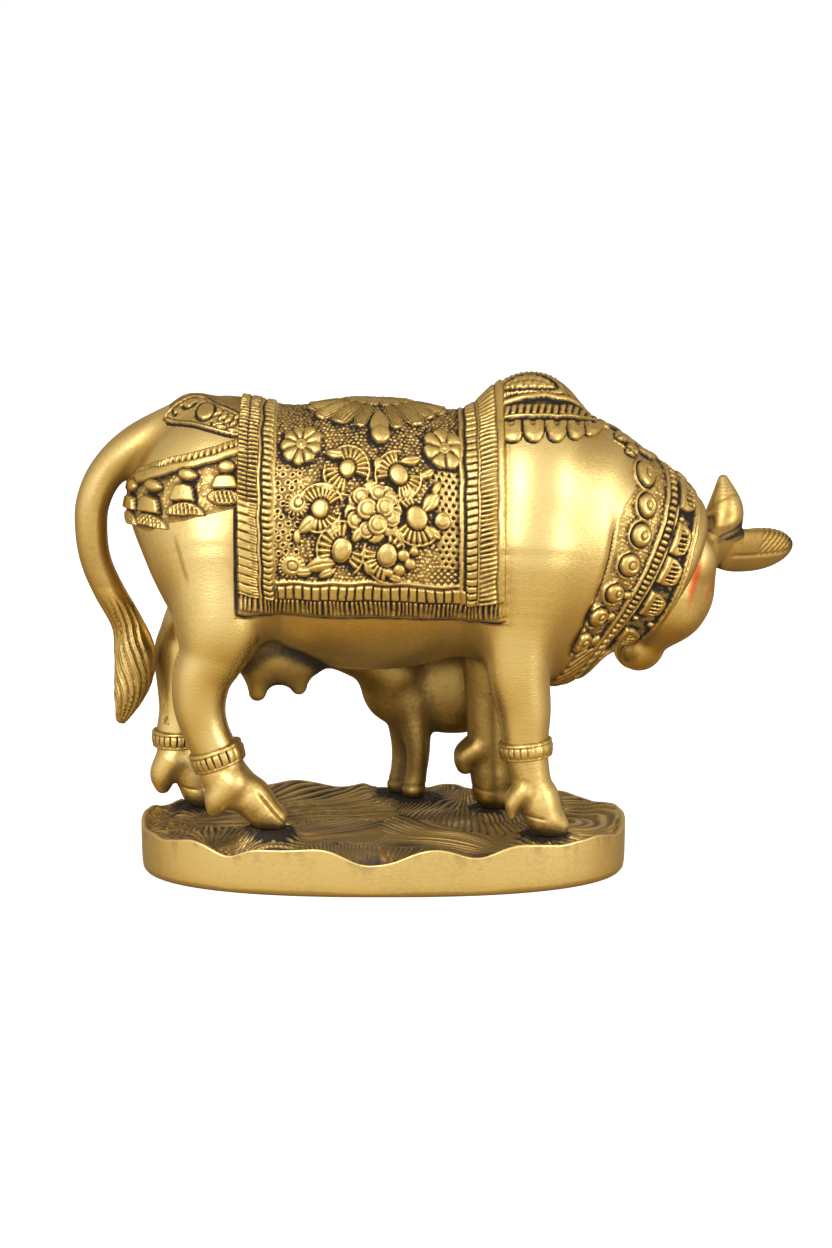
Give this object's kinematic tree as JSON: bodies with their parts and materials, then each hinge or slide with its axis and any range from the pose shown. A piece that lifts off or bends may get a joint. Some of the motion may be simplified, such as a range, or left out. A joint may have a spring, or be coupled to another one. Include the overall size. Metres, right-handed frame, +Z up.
{
  "type": "kamdhenu cow statue",
  "caption": "Cast brass kamdhenu: a humped cow in a carved saddle cloth and collar, head turned back to the calf at her udder, on an oval plinth with a wavy rim.",
  "frame": {"origin": "centre of the plinth's underside", "axes": "+X the way the cow walks, +Y her left side, where the calf stands, +Z up"},
  "size_m": [0.2049, 0.0758, 0.1395],
  "materials": {
    "brass": "polished, dark patina in the carving",
    "dull_brass": "unpolished, satin"
  },
  "bodies": {
    "root": {"base": "brass", "cow": "brass", "calf": "dull_brass"}
  },
  "joints": []
}
